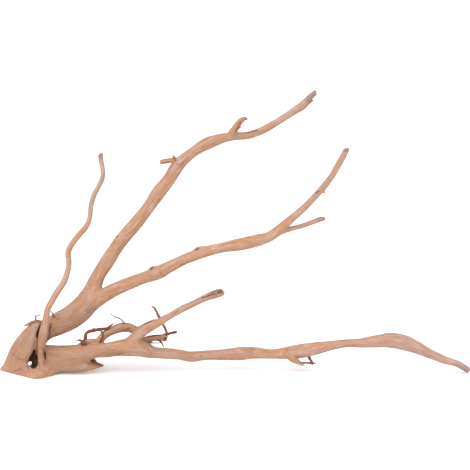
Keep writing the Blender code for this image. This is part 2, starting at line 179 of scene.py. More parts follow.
# Hair rootlets, each rooted in the skin: how red it is, and its route
ROOTLETS = {
    "spur_tip": (0.2, [
        (-11, 4, 63.3, 1.5), (-14, 3.5, 61.9, 1.0), (-16, 3.2, 60.8, 0.6), (-17.2, 3, 59.8, 0.15),
    ]),
    "curl": (0.1, [
        (1, 5, 66, 1.4), (-0.3, 3, 71, 1.0), (0.4, 2, 74, 0.9), (-1, 2, 76, 0.8), (-2.4, 1, 79, 0.4),
    ]),
    "curl_tip": (0.1, [(0.2, 2.2, 74, 0.8), (2.3, 1, 76.4, 0.7), (4.6, 0, 75.4, 0.8), (6.2, 0, 78.6, 0.4)]),
    "hook_end": (1.0, [(346, -5, 12.5, 1.8), (356, -4, 13, 1.2), (363, -3, 12, 1.3), (369, -2, 12, 0.5)]),
    "hook_prong": (1.0, [(356, -2, 28, 2.4), (360, -3, 19, 2.0), (364, -3, 13, 1.3)]),
    "curled_root": (1.0, [
        (60, -4, 32, 3.6), (65, -2, 46, 2.3), (67, -1, 53, 2.1), (76, 1, 56, 2.2), (86, 3, 57, 1.8),
        (94, 4, 58, 2.0), (98, 5, 61, 1.4), (103, 6, 65, 0.3),
    ]),
    "curled_drop": (1.0, [(84, 3, 57, 1.2), (88, 1, 51, 1.0), (87, -2, 45, 1.0), (82, -5, 36, 1.2)]),
    "left_spike": (1.0, [(66, -8, 36, 3.0), (60, -10, 45, 1.6), (53, -12, 45.5, 0.25)]),
    "hair": (0.3, [(118, 11, 58, 1.1), (112, 7, 69, 0.9), (102, 3, 75, 0.8), (97, 1, 81, 0.35)]),
    "top_rootlet": (0.6, [
        (166, -24, 74, 2.4), (162, -20, 82, 1.8), (159, -18, 87, 1.6), (157, -17, 91, 1.4),
        (153, -16, 92.4, 0.7),
    ]),
    "under_rootlet": (0.8, [(166, -24, 74, 2.2), (170, -14, 64, 1.7), (172, -4, 55, 1.5), (172, 4, 49, 1.3)]),
    "snag_twig": (0.8, [(160, 13, 43, 2.4), (171, 17, 46, 1.9), (180, 19, 48, 2.0), (185, 19.5, 48.4, 1.6)]),
    "hanging_rootlet": (0.9, [(158, 12, 41, 1.5), (164, 8, 38, 1.2), (168, 6, 32, 0.5)]),
    "hanging_hair": (0.5, [(144, 7, 39, 1.2), (154, 4, 38, 0.9), (164, 3, 38, 0.4)]),
    "back_rootlet": (0.0, [(24, 5, 70, 1.6), (23.5, -3, 78, 1.2), (23, -8, 82, 1.0), (21, -13, 86, 0.5)]),
}

# The saw cut of the heel, through these two corners of its foot and leaning back, up to the ledge
# between the two other points
HEEL_LEFT = Vector((-49.6, 4.3, 0))
HEEL_FRONT = Vector((0.4, -36.7, 0))
SAW_LEAN = math.radians(13)
OFFCUT_SIZE = 90
LEDGE_LEFT = Vector((-36.4, 3, 26.5))
LEDGE_RIGHT = Vector((-10.4, -18, 19.5))

# Hollows of the stump and the wedge over the shard, as routes that are taken out of the wood, and
# then the hollows whose inside is painted shade, near black (deep shadow and some dirt)
HOLLOWS = {
    "main_hollow": [
        (-0.6, -15, 34.5, 0.8, 10), (-1.4, -15, 30, 2.2, 5), (-1.8, -15, 26, 4.2, 3),
        (-3, -15, 21, 5.8, 2.2), (-2.2, -15, 16, 5.6, 2.2), (-1, -15, 12.5, 4.4, 2.6),
    ],
    "slit": [
        (10.6, -12, 71, 1.6, 8), (9.2, -12, 65, 3.6, 4.5), (6.8, -12, 59, 3.6, 4.5), (4.6, -12, 53.6, 2.5, 5),
        (2.8, -12, 49.5, 0.8, 11),
    ],
    "foot_hole": [(12.4, -16, 30, 0.8, 7), (12.8, -16, 26.5, 1.1, 5), (13.4, -16, 22, 0.8, 7)],
    "crease": [
        (21, -10, 74, 0.8, 6), (20, -10, 68, 1.4, 5), (18.7, -10, 61, 1.5, 5), (17, -10, 53, 1.4, 5),
        (15.5, -10, 47, 0.8, 6),
    ],
    "shard_crack": [
        (72.5, -9, 20, 0.6, 30), (78.5, -9, 20.1, 2.6, 8), (84.5, -9, 19.4, 4.2, 5), (91, -9, 18, 5.4, 4),
        (98, -9, 16.6, 5.3, 4), (107, -9, 14.6, 5.2, 4),
    ],
    "shard_back": [(71, 4, 14, 1.5), (77, 3, 13, 6.5), (84, 2, 12, 8.5), (94, 2, 11, 9), (107, 2, 9, 9)],
    "back_arch": [(-9, 50, 1, 8.5), (-9, 33, 1, 8.5), (-9, 18, 1, 5)],
    "tunnel": [
        (-6, -18, 16.5, 2.7, 1.3), (-8, -10, 13.8, 2.7, 1.3), (-9.5, 2, 10.2, 2.7, 1.3),
        (-12, 28, 2.4, 2.7, 1.3),
    ],
}
# the inside of these hollows gets painted shade, nearly black
SHADED_HOLLOWS = ("main_hollow", "slit", "foot_hole", "crease", "tunnel")

# The stains and the painted shade, in the order they are laid, and how strong each is
STAINS_AND_SHADE = {
    "shade_and_lines": 0.4, "dust": 0.45, "orange": 0.55, "pink": 0.4, "ochre": 0.5, "grey": 0.7, "seam": 0.7,
    "red": 0.75, "dark": 0.92,
}

# Broad stains and broad painted shade, each with its half width and the route that it runs along
BROAD_STAINS_AND_SHADE = {
    # the next three are painted shade: a broad brown darkening over the stump, the low stem and the fork
    "stump_shade": ("shade_and_lines", 30, [(-22, -12, 18), (4, -12, 40)]),
    "low_stem_shade": ("shade_and_lines", 13, [(25, -18, 22), (60, -20, 22), (110, -18, 28)]),
    "fork_shade": ("shade_and_lines", 12, [(28, -6, 52), (70, -4, 88)]),
    "far_dust": ("dust", 22, [(440, -8, 42), (490, -8, 40), (569, -7, 4)]),
    "middle_dust": ("dust", 14, [(360, -38, 240), (402, -54, 305)]),
    "tall_dust": ("dust", 14, [(320, 63, 325), (367, 74, 360)]),
    "twig_dust": ("dust", 9, [(345, -22, 201), (377, -14, 209)]),
    "shoot_dust": ("dust", 9, [(73, 9, 208), (88, 28, 270), (86, 32, 286)]),
    "tall_tip_grey": ("grey", 6.5, [(368, 73, 362), (358, 71, 352)]),
    "middle_tip_grey": ("grey", 3.5, [(402, -55, 306), (400, -54, 303)]),
    "twig_tip_grey": ("grey", 4, [(377, -14, 209), (369, -16, 207)]),
    "far_end_grey": ("grey", 5.5, [(569, -7, 4), (552, -7, 12)]),
    "right_tip_grey": ("grey", 4, [(278, 41, 330), (272, 43, 331)]),
    "snag_red": ("red", 3.6, [(140, 4, 37), (172, 13, 38)]),
    "bent_ochre": ("ochre", 4.6, [(88, 5, 47), (112, 12, 57), (133, 8, 54)]),
}

# Marks seen in the photo: the stain, how far the wood is lifted there, the half width, and the pixels
# of the photo that the mark runs through. Some marks are painted shade in creases, hollows and on
# undersides, as said at each. Each is cast onto the wood from the photo's camera, and a lift reaches a
# little further than its stain.
LIFT_SPREAD = 1.3
SEEN_MARKS = {
    "lobe_top": ("red", 0, 2.0, [(31, 324), (35, 321.5), (40, 321.5)]),
    "spur_root": ("red", -0.3, 1.2, [(29.3, 326.3), (31.3, 324.3)]),
    # painted shade along the edge of the deep slit
    "slit_edge_shade": ("seam", 0, 1.2, [(36, 327), (36, 335)]),
    "facet_crack": ("seam", -0.8, 0.9, [(15, 371.5), (19.3, 369.6), (27, 366)]),
    "corner_crack": ("seam", -0.5, 0.9, [(28, 367.5), (29, 372)]),
    "hole_edge": ("red", 0, 1.4, [(26.8, 361), (28, 367)]),
    # painted shade, brown-red, on the inner wall of the main hollow
    "hollow_wall_shade": ("red", 0, 3.2, [(37, 352), (37, 358), (37, 366)]),
    # painted shadow on the stem beside the shoot's foot
    "foot_shade": ("red", 0, 1.6, [(43, 349), (44, 355), (46, 359)]),
    # painted shadow of the shoot on the stem behind it, as a broad red-brown band and a thin dark line
    "crease_shadow": ("red", -0.3, 2.0, [(49.6, 317), (50.8, 324), (49.6, 335)]),
    "crease_shadow_line": ("seam", -0.4, 1.1, [(51.5, 319), (50.8, 327), (49, 338)]),
    "stem_moss": ("ochre", 0, 2.1, [(53.5, 316), (54, 325)]),
    "stem_orange": ("orange", 0, 2.6, [(52, 334), (57, 332)]),
    "stem_glow": ("orange", 0, 4.5, [(75, 308), (84, 300)]),
    "stem_line": ("seam", -0.3, 0.9, [(57.5, 318.8), (60.5, 317.8)]),
    "stem_spot": ("dark", -0.4, 0.9, [(70.4, 319.8)]),
    "stem_spot_low": ("dark", -0.4, 0.9, [(73.4, 323.6)]),
    "stem_spot_high": ("dark", -0.4, 0.9, [(88.4, 312.6)]),
    "fork_streak": ("red", 0, 0.9, [(101.6, 284), (104.6, 278)]),
    "tall_glow_low": ("orange", 0, 4.0, [(100, 272), (109, 256)]),
    "tall_knot": ("dark", 0.5, 1.2, [(116.4, 236.6), (117.8, 236.4)]),
    "tall_glow": ("orange", 0, 4.5, [(131, 228), (133, 222)]),
    "tall_glow_mid": ("orange", 0, 4.5, [(160, 192), (169, 178)]),
    "tall_yellow": ("ochre", 0, 2.6, [(203, 147), (209, 143.5)]),
    "tall_glow_high": ("orange", 0, 4.0, [(214, 140.5), (226, 138)]),
    "tall_glow_far": ("orange", 0, 3.2, [(263, 130), (276, 123)]),
    "tall_streak": ("dark", -0.3, 1.0, [(246.5, 133), (252.4, 131.4), (257, 130.4)]),
    "swirl": ("pink", 0.7, 4.0, [(180, 161)]),
    "swirl_line": ("seam", -0.4, 0.9, [(176.5, 164), (181, 165.5), (184.5, 161)]),
    "left_root": ("red", -0.3, 1.6, [(174, 158.5), (175.6, 160.8)]),
    "left_barb_dark": ("dark", 0, 1.4, [(173.4, 157.6)]),
    "left_edge": ("seam", 0, 1.0, [(161, 160), (166, 159.2)]),
    # painted shade along the underside of the left stub
    "left_underside_shade": ("red", 0, 0.9, [(162, 163), (170, 161.8)]),
    "right_base": ("orange", 0, 3.6, [(231, 133), (235, 128)]),
    "right_stain": ("red", 0, 1.6, [(235.5, 131.5), (238, 127), (240, 122.5)]),
    "right_barb_dark": ("dark", 0, 1.1, [(239, 127.4)]),
    "right_dark": ("dark", 0, 1.2, [(246.4, 119.6)]),
    "middle_glow_low": ("orange", 0, 3.6, [(133, 284), (144, 279)]),
    "near_knot_dark": ("dark", 0, 1.5, [(150.8, 269.2), (152.6, 267.7)]),
    "middle_knot": ("ochre", 1.4, 3.4, [(162.5, 275)]),
    "middle_knot_line": ("seam", -0.5, 1.0, [(160.8, 273), (163.6, 275.6)]),
    "middle_crease": ("seam", -0.4, 0.9, [(180, 264.8), (183.4, 263.6)]),
    "far_knot_dark": ("dark", 0, 1.3, [(195.7, 250.1), (198.4, 248.2)]),
    "middle_glow": ("orange", 0, 3.8, [(188, 259), (206, 252.5)]),
    "middle_slit": ("seam", -0.6, 0.9, [(222, 244.4), (229, 243.4), (236, 242.6)]),
    "middle_glow_far": ("orange", 0, 3.6, [(226, 247), (240, 245)]),
    "middle_yellow": ("ochre", 0, 2.4, [(243, 243), (250, 242)]),
    "middle_fork_glow": ("orange", 0, 3.2, [(280, 229), (290, 222)]),
    "middle_fork_line": ("dark", 0, 0.9, [(293.4, 220.6)]),
    "middle_streak": ("dark", -0.4, 1.0, [(315.4, 193.4), (318.4, 191.4)]),
    "tip_knot_ochre": ("ochre", 0, 1.4, [(323, 191.6)]),
    "middle_notch": ("pink", 0.8, 1.4, [(330.4, 179)]),
    "middle_tip_dark": ("dark", 0, 1.4, [(346, 151)]),
    "short_glow": ("orange", 0, 2.8, [(156, 325), (164, 319)]),
    "short_knot": ("dark", 0.8, 1.1, [(182.4, 306)]),
    "short_bit": ("dark", -0.4, 0.9, [(190.5, 302), (192.4, 301)]),
    "short_ridge": ("grey", 0.5, 1.2, [(196.4, 299.6), (199, 299)]),
    "short_crack": ("dark", -0.7, 1.0, [(201.6, 298), (205.4, 296.8), (210, 295)]),
    "short_crack_end": ("dark", -0.9, 1.0, [(210, 295), (216, 294), (219.6, 292)]),
    "short_crack_top": ("dark", -0.7, 1.0, [(211.6, 293), (216, 290.8), (218.6, 290.2)]),
    "short_end": ("dark", 0, 1.5, [(221.4, 292.6), (222.4, 291.4)]),
    "short_end_grey": ("grey", 0, 2.6, [(208, 296), (219, 291)]),
    "root_edge": ("dark", 0, 1.4, [(144, 324), (151, 321), (156, 319.4)]),
    "root_stain": ("red", 0, 1.3, [(104, 331)]),
    "root_glow": ("orange", 0, 3.2, [(119, 330), (128, 329)]),
    "root_line": ("red", 0, 1.3, [(124, 331), (130, 328)]),
    "snag_top": ("dark", -0.3, 1.2, [(146, 337), (152, 336), (161, 335.2)]),
    "snag_orange": ("orange", 0, 3.6, [(149, 339), (157, 338), (163, 338)]),
    "snag_end": ("dark", -1.2, 2.8, [(165.4, 338.5)]),
    # painted shade along the underside of the snag
    "snag_underside_shade": ("seam", 0, 1.0, [(151, 340.6), (158, 340.2)]),
    "notch_red": ("red", 0, 1.6, [(147, 343)]),
    # painted shade along the underside of the low stem
    "stem_underside_shade": ("seam", 0, 1.2, [(117, 354), (122, 353.4)]),
    # these two are dark lines in the wood, laid in the same brown as the painted shade
    "low_line": ("shade_and_lines", -0.4, 1.8, [(52, 359.4), (59, 356), (66, 355.8)]),
    "low_line_far": ("shade_and_lines", -0.3, 1.4, [(67, 364.6), (77, 362)]),
    "low_glow": ("orange", 0, 4.5, [(62, 349), (78, 349)]),
    "low_glow_far": ("orange", 0, 4.5, [(120, 349), (132, 345)]),
    "mound_red": ("red", 0, 2.4, [(81, 343), (86, 342.5)]),
    "mound_moss": ("ochre", 0, 2.8, [(86, 343), (92, 342.4), (99, 342.4)]),
    "mound_dark": ("seam", 0, 1.1, [(88, 343.4), (90, 342.6)]),
    # painted shade in the crack over the shard: its dark edge and inner wall, then the brown-red of the
    # shaded face below it
    "shard_edge_shade": ("dark", 0, 2.4, [(92, 361.8), (97, 363.4), (101.6, 364.9)]),
    "shard_wall_shade": ("dark", 0, 2.6, [(91.6, 360.2), (94.6, 360.8)]),
    "shard_red_shade": ("red", 0, 2.4, [(88, 363), (94, 365), (99, 366)]),
    "long_spot": ("dark", -0.3, 1.0, [(200.6, 356.4)]),
    # painted shade along the underside of the long branch
    "long_underside_shade": ("seam", 0, 1.1, [(214.8, 359), (220.8, 358.8)]),
    "long_bump": ("ochre", 1.0, 1.7, [(238, 347.8)]),
    "long_streak": ("seam", -0.4, 0.9, [(250, 349.4), (255, 349)]),
    "long_glow": ("orange", 0, 3.6, [(262, 354), (276, 354)]),
    "long_collar": ("red", -0.5, 1.1, [(285.4, 350.4), (287.6, 349.4)]),
    "long_orange": ("orange", 0, 2.2, [(318, 345), (332, 344.4)]),
    "paddle_spot": ("red", 0, 1.1, [(406.4, 339.6)]),
    "paddle_bump": ("pink", 0.8, 2.6, [(387, 336)]),
    "hook_crack": ("seam", -0.5, 0.9, [(296, 356.8), (298.2, 357.6)]),
    "hook_stain": ("red", 0, 1.3, [(299, 361), (301.6, 363)]),
    "shoot_kink": ("ochre", 0, 2.0, [(68.6, 252), (70, 248)]),
    "shoot_tip_edge": ("dark", 0, 1.0, [(98.8, 155.6), (98.8, 158)]),
    "shoot_tip_grey": ("grey", 0, 2.0, [(100.5, 154), (100.8, 158)]),
}

# The coats of the wood's colour, in the order they are laid over the tan: how strong each is, how wide
# its patches are across the grain in metres, how many times as long they run along it, the detail and
# the shift of their noise, and the noise at which a patch begins and is full. The saw cut's colour
# lies between the two sets.
UNDERCOATS = {
    "orange": (1.0, 0.009, 2.4, 3.0, 3.1, 0.42, 0.58),
    "rust": (0.5, 0.021, 1.7, 2.0, 7.7, 0.40, 0.62),
    "pink": (0.5, 0.0065, 2.4, 3.0, 17.0, 0.50, 0.62),
    "pale": (0.42, 0.0048, 3.6, 3.0, 45.0, 0.52, 0.66),
    "amber": (0.28, 0.0026, 1.8, 2.0, 87.0, 0.47, 0.60),
}
TOPCOATS = {
    "brown": (0.4, 0.0030, 6.0, 4.0, 31.0, 0.50, 0.66),
    "dark": (0.5, 0.0018, 4.0, 2.0, 73.0, 0.69, 0.80),
}
SAWN_STRENGTH = 0.6

# The fibres, how raggedly they break up the stains and the painted shade, how dark and how rough the wood
# is between them and how much lighter and rougher on them, and how far each pattern stands out of the wood
FIBRES = {"width": 0.0011, "stretch": 9.0, "detail": 4.0, "shift": 59.0, "roughness": 0.6}
STAIN_BREAKUP = 0.7
SHADE, FIBRE_SHADE = 0.46, 0.65
ROUGHNESS, FIBRE_ROUGHNESS = 0.72, 0.16
FIBRE_RISE = 0.5
RISES = {"brown": -0.3, "orange": 0.3, "dark": -0.8}

# Relief of the wood: how wide its swells and furrows are across the grain and how long along it, in
# millimetres, and how many sizes of them there are, each lower and finer than the last by these powers
SWELLS = (9, 40, 3)
FURROWS = (2.4, 26, 2)
FRACTAL = (1.0, 2.0)
SLIGHT_WEIGHT = 0.02

# The camera of the photograph, and the soft light from above
CAMERA_PLACE = (0.26195, -2.24118, 0.66072)
CAMERA_DIP = math.radians(12)
SENSOR_MM = 36
PHOTO_WIDTH = 470
KEY_PLACE = (-0.5, -1.0, 2.0)
KEY_TURN = (math.radians(38), math.radians(-14), 0)
KEY_SPREAD = math.radians(100)


def smooth_rows(route, pitch):
    """Rows along the smooth curve through a route's rows, about pitch radii apart."""
    rows = np.array([row if len(row) == 5 else (*row, 1.0) for row in route], float)
    padded = np.vstack([2 * rows[0] - rows[1], rows, 2 * rows[-1] - rows[-2]])
    dense = []
    for i in range(1, len(padded) - 2):
        before, start, end, after = padded[i - 1:i + 3]
        length = np.linalg.norm(end[:3] - start[:3])
        steps = max(1, round(length / (pitch * (start[3] + end[3]) / 2)))
        for t in np.arange(steps) / steps:
            bend = (
                2 * start
                + (end - before) * t
                + (2 * before - 5 * start + 4 * end - after) * t**2
                + (3 * start - before - 3 * end + after) * t**3
            )
            dense.append(bend / 2)
    dense.append(rows[-1])
    return np.array(dense)


def unit(vectors):
    return vectors / np.linalg.norm(vectors, axis=-1, keepdims=True)


def rounded_min(a, b, width):
    """The smaller of two distances, rounded off where they differ by less than the width."""
    close = np.clip(1 - np.abs(a - b) / width, 0, 1)
    return np.minimum(a, b) - close**3 * width / 6


def rounded_max(a, b, width):
    return -rounded_min(-a, -b, width)


class Limb:
    """A tapering limb: its axis, the frame of its section and its radius at each row, in millimetres."""

    CAP = 0.6
    PITCH = 0.7
    MARGIN = 14
    FLUTES = ((2, 0.030, 0.011), (3, 0.022, -0.017), (5, 0.016, 0.023))
    LEAST_SLOPE = 0.3
    SPLINTER_ASIDE, SPLINTER_ACROSS = 1.3, 2.1
    SPLINTER_LENGTH = 0.33
    BREAK_STEEPNESS, BREAK_ROUNDING = 0.7, 0.6

    def __init__(self, route, slant=None, seed=0.0, slim=1.0):
        rows = smooth_rows(route, self.PITCH)
        rows[:, 3] *= slim
        self.slant = slant
        self.seed = seed
        self.axis, self.radius, self.share = rows[:, :3], rows[:, 3], rows[:, 4]
        self.steps = np.diff(self.axis, axis=0)
        self.step_lengths = np.linalg.norm(self.steps, axis=1)
        self.along = np.concatenate([[0], np.cumsum(self.step_lengths)])
        self.tangents = unit(np.gradient(self.axis, axis=0))
        runs_back = abs(self.tangents[0][1]) > 0.95
        aside = np.array([0.0, 0.0, 1.0] if runs_back else [0.0, 1.0, 0.0])
        sides = []
        for tangent in self.tangents:
            aside = unit(aside - (aside @ tangent) * tangent)
            sides.append(aside)
        self.aside = np.array(sides)
        self.across = np.cross(self.tangents, self.aside)
        reach = (self.radius * np.maximum(self.share, 1))[:, None] + self.MARGIN
        self.low, self.high = (self.axis - reach).min(0), (self.axis + reach).max(0)

    def near(self, points):
        """Which points lie in the box around the limb."""
        return ((points > self.low) & (points < self.high)).all(1)

    def straighten(self, points):
        """The points in the limb's own frame: aside, across and beyond its axis, the length so far, and
        the radius and depth share there."""
        start = self.axis[:-1]
        from_start = points @ self.steps.T - (start * self.steps).sum(1)
        t = (from_start / self.step_lengths**2).clip(0, 1)
        gaps = -2 * points @ start.T + (start**2).sum(1) - 2 * t * from_start
        gaps = gaps + t**2 * self.step_lengths**2
        pick = gaps.argmin(1)
        t = t[np.arange(len(points)), pick]
        back, ahead = pick, pick + 1

        def between(values):
            weight = t if values.ndim == 1 else t[:, None]
            return values[back] * (1 - weight) + values[ahead] * weight

        offset = points - between(self.axis)
        aside, across, tangent = between(self.aside), between(self.across), between(self.tangents)
        placed = [(offset * direction).sum(1) for direction in (aside, across, tangent)]
        return (*placed, between(self.along), between(self.radius), between(self.share))

    def swell(self, angle, along):
        """The share by which the section swells, in shallow flutes that wind along the limb."""
        swollen = 1
        for i, (count, depth, winding) in enumerate(self.FLUTES):
            swollen = swollen + depth * np.cos(count * angle + winding * along + (i + 1) * self.seed)
        return swollen

    def distance(self, points):
        """How far each point is outside the limb, its place in the limb's own frame and the radius."""
        aside, across, beyond, along, radius, share = self.straighten(points)
        scale = np.stack([share, np.ones_like(share), np.full_like(share, self.CAP)], 1)
        pressed = np.stack([aside, across, beyond], 1) / scale
        size = np.linalg.norm(pressed, axis=1) + 1e-6
        slope = np.linalg.norm(pressed / scale, axis=1) / size
        angle = np.arctan2(across, aside / share)
        gap = (size - radius * self.swell(angle, along)) / np.maximum(slope, self.LEAST_SLOPE)
        if self.slant is not None:
            splinters = np.sin(self.SPLINTER_ASIDE * aside + self.seed) * np.cos(across)
            splinters += np.sin(self.SPLINTER_ACROSS * across + self.seed)
            splinters *= self.SPLINTER_LENGTH * abs(self.slant) * radius
            past = along - self.along[-1] + beyond - self.slant * across - splinters
            gap = rounded_max(gap, past * self.BREAK_STEEPNESS, self.BREAK_ROUNDING)
        return gap, np.stack([aside, across, along + beyond], 1), radius

    def press(self, mesh):
        """Gives a round tube along this limb its depth share."""
        points = points_of(mesh)
        aside, *_, share = self.straighten(points)
        points[:, 1] += aside * (share - 1)
        place_points(mesh, points)


class Wood:
    """The whole wood as one distance field, with each point's place along the grain of its limbs."""

    FAR = 1000.0
    SLIM = 0.965
    SEED_STEP = 1.7
    ROW_OFFSET = 700.0
    GRAIN_MIX = 1.3
    LAST = "shoot"
    HOLLOW_ROUNDING, SAW_ROUNDING, FOOT_ROUNDING = 1.2, 0.5, 0.6
    LEAST_FILLET = 0.2
    # how near these hollows and how deep under the uncut wood the painted shade of their inside reaches
    DARK_MARGIN, DARK_DEPTH = 1.5, 0.5

    def __init__(self, fillet):
        self.fillet = fillet
        self.limbs = {}
        for i, (name, (route, slant, *_)) in enumerate(LIMBS.items()):
            self.limbs[name] = Limb(route, slant, self.SEED_STEP * i, self.SLIM)
        self.hollows = {name: Limb(route) for name, route in HOLLOWS.items()}
        sawn = (HEEL_FRONT - HEEL_LEFT).cross(Vector((0, 0, 1))).normalized()
        self.sawn = sawn * math.cos(SAW_LEAN) + Vector((0, 0, math.sin(SAW_LEAN)))
        self.under_ledge = (LEDGE_RIGHT - LEDGE_LEFT).cross(self.sawn).normalized()

    def facet(self, points):
        """How far each point is past the saw cut, below its ledge."""
        past = (points - np.array(HEEL_FRONT)) @ np.array(self.sawn)
        below = (points - np.array(LEDGE_LEFT)) @ np.array(self.under_ledge)
        return np.minimum(past, below)

    def offcut(self):
        """A block that takes off what the saw took off."""
        along = self.sawn.cross(self.under_ledge)
        clear_selection()
        bpy.ops.mesh.primitive_cube_add(size=OFFCUT_SIZE * MM)
        block = bpy.context.object
        block.name = "offcut"
        turn = Matrix((along, self.sawn, self.under_ledge)).transposed()
        centre = HEEL_FRONT.project(self.sawn) + LEDGE_LEFT.project(self.under_ledge)
        centre += (HEEL_FRONT + LEDGE_LEFT).project(along) / 2
        centre += (self.sawn + self.under_ledge) * OFFCUT_SIZE / 2
        block.data.transform(Matrix.Translation(centre * MM) @ turn.to_4x4())
        return block

    def measure(self, points):
        """The field at each point, and the facts that the finish of the wood is made from."""
        count = len(points)
        field, radius, nearest = (np.full(count, self.FAR) for _ in range(3))
        gaps = np.full((count, LAYERS), self.FAR)
        grains = np.zeros((count, LAYERS, 3))
        # dark is the distance to the hollows whose inside gets painted shade
        hollow, dark = (np.full(count, self.FAR) for _ in range(2))
        facet = self.facet(points)
        for name, cutter in self.hollows.items():
            here = np.flatnonzero(cutter.near(points))
            gap = cutter.distance(points[here])[0]
            hollow[here] = np.minimum(hollow[here], gap)
            if name in SHADED_HOLLOWS:
                dark[here] = np.minimum(dark[here], gap)
        for name, limb in self.limbs.items():
            if name == self.LAST:
                uncut = field.copy()
                field = rounded_max(field, -hollow, self.HOLLOW_ROUNDING)
                field = rounded_max(field, facet, self.SAW_ROUNDING)
            here = np.flatnonzero(limb.near(points))
            gap, place, size = limb.distance(points[here])
            _, _, owner, layer, spread = LIMBS[name]
            width = self.fillet * spread * np.minimum(size, radius[here]) + self.LEAST_FILLET
            field[here] = rounded_min(field[here], gap, width)
            closer = here[gap < nearest[here]]
            radius[closer] = size[gap < nearest[here]]
            nearest[here] = np.minimum(nearest[here], gap)
            if owner != name:
                place = self.limbs[owner].distance(points[here])[1]
            place = place + [0, 0, self.ROW_OFFSET * list(LIMBS).index(owner)]
            won = gap < gaps[here, layer]
            gaps[here[won], layer] = gap[won]
            grains[here[won], layer] = place[won]
        field = rounded_max(field, -points[:, 2], self.FOOT_ROUNDING)
        weights = np.exp(-(gaps - gaps.min(1, keepdims=True)) / self.GRAIN_MIX)
        weights /= weights.sum(1, keepdims=True)
        # the painted shade inside the hollows: near their walls and under the uncut wood
        hollow_shade = np.clip(self.DARK_MARGIN - dark, 0, 1) * np.clip(-self.DARK_DEPTH - uncut, 0, 1)
        return field, {
            "grains": grains, "weights": weights, "radius": radius, "hollow_shade": hollow_shade, "facet": facet,
        }


def points_of(mesh):
    points = np.empty(len(mesh.vertices) * 3)
    mesh.vertices.foreach_get("co", points)
    return points.reshape(-1, 3) / MM


def normals_of(mesh):
    normals = np.empty(len(mesh.vertices) * 3)
    mesh.vertex_normals.foreach_get("vector", normals)
    return normals.reshape(-1, 3)


def place_points(mesh, points):
    mesh.vertices.foreach_set("co", (points * MM).ravel())
    mesh.update()


def clear_selection():
    bpy.ops.object.select_all(action="DESELECT")


def add_tube(name, rows, resolution):
    """A closed tapering tube through the rows, drawn as a curve with a round bevel."""
    clear_selection()
    bpy.ops.curve.primitive_nurbs_path_add(location=(0, 0, 0))
    tube = bpy.context.object
    tube.name = name
    tube.data.splines.clear()
    spline = tube.data.splines.new("POLY")
    spline.points.add(len(rows) - 1)
    for point, (x, y, z, radius) in zip(spline.points, rows[:, :4].tolist()):
        point.co = (x * MM, y * MM, z * MM, 1)
        point.radius = radius
    tube.data.bevel_depth = MM
    tube.data.bevel_resolution = resolution
    tube.data.use_fill_caps = True
    bpy.ops.object.convert(target="MESH")
    return bpy.context.object


def join_as(name, pieces):
    """Joins the pieces into one object with its own origin at the world's."""
    clear_selection()
    for piece in pieces:
        piece.select_set(True)
    bpy.context.view_layer.objects.active = pieces[0]
    bpy.ops.object.join()
    joined = bpy.context.object
    joined.name = joined.data.name = name
    return joined


def apply(piece, kind, **settings):
    """Adds a modifier with these settings and applies it."""
    modifier = piece.modifiers.new(kind.title(), kind)
    for setting, value in settings.items():
        setattr(modifier, setting, value)
    bpy.context.view_layer.objects.active = piece
    bpy.ops.object.modifier_apply(modifier=modifier.name)


def saw_off(piece, point, normal):
    """Bisects the piece by a plane, takes off what is on the normal's side and closes the cut."""
    clear_selection()
    piece.select_set(True)
    bpy.context.view_layer.objects.active = piece
    bpy.ops.object.mode_set(mode="EDIT")
    bpy.ops.mesh.select_all(action="SELECT")
    bpy.ops.mesh.bisect(plane_co=point, plane_no=normal, use_fill=True, clear_outer=True)
    bpy.ops.object.mode_set(mode="OBJECT")


def carve(piece, cutter):
    apply(piece, "BOOLEAN", operation="DIFFERENCE", solver="EXACT", object=cutter)
    bpy.data.objects.remove(cutter)


def add_values(mesh, name, values):
    """Stores one number or one vector for each vertex under the name."""
    kind, key = ("FLOAT", "value") if values.ndim == 1 else ("FLOAT_VECTOR", "vector")
    stored = mesh.attributes.new(name, kind, "POINT")
    stored.data.foreach_set(key, np.ascontiguousarray(values, np.float32).ravel())


def gap_to(points, route):
    """How far each point is from a route of straight steps."""
    route = np.array(route, float)
    gap = np.linalg.norm(points - route[0], axis=1)
    for start, step in zip(route, np.diff(route, axis=0)):
        share = ((points - start) @ step / (step @ step)).clip(0, 1)
        gap = np.minimum(gap, np.linalg.norm(points - start - share[:, None] * step, axis=1))
    return gap


class Sight:
    """Where the pixels of the photo lie on a mesh, as the photo's camera sees it."""

    def __init__(self, mesh, lens):
        faces = [tuple(face.vertices) for face in mesh.polygons]
        self.tree = BVHTree.FromPolygons(points_of(mesh).tolist(), faces)
        self.eye = Vector(CAMERA_PLACE) / MM
        self.turn = Euler((math.pi / 2 - CAMERA_DIP, 0, 0)).to_matrix()
        self.focal = lens / SENSOR_MM * PHOTO_WIDTH

    def place(self, pixel):
        """The point of the mesh that is seen at the pixel, in millimetres."""
        across, down = (value - PHOTO_WIDTH / 2 for value in pixel)
        ray = self.turn @ Vector((across, -down, -self.focal))
        hit = self.tree.ray_cast(self.eye, ray.normalized())[0]
        if hit is None:
            raise RuntimeError(f"the wood isn't seen at pixel {pixel} of the photo")
        return hit


def unevenness(place, pattern):
    """The noise at a place in a limb's own frame, stretched along the limb."""
    width, run, sizes = pattern
    aside, across, along = place
    return noise.fractal((aside / width, across / width, along / run), *FRACTAL, sizes)


def relief(facts, fine, broad):
    """How far the wood swells and sinks along its grain, in millimetres."""
    height = np.zeros(len(facts["radius"]))
    for layer in range(LAYERS):
        weights = facts["weights"][:, layer]
        here = np.flatnonzero(weights > SLIGHT_WEIGHT)
        for point, place in zip(here.tolist(), facts["grains"][here, layer].tolist()):
            swollen = broad * unevenness(place, SWELLS) + fine * unevenness(place, FURROWS)
            height[point] += weights[point] * swollen
    return height


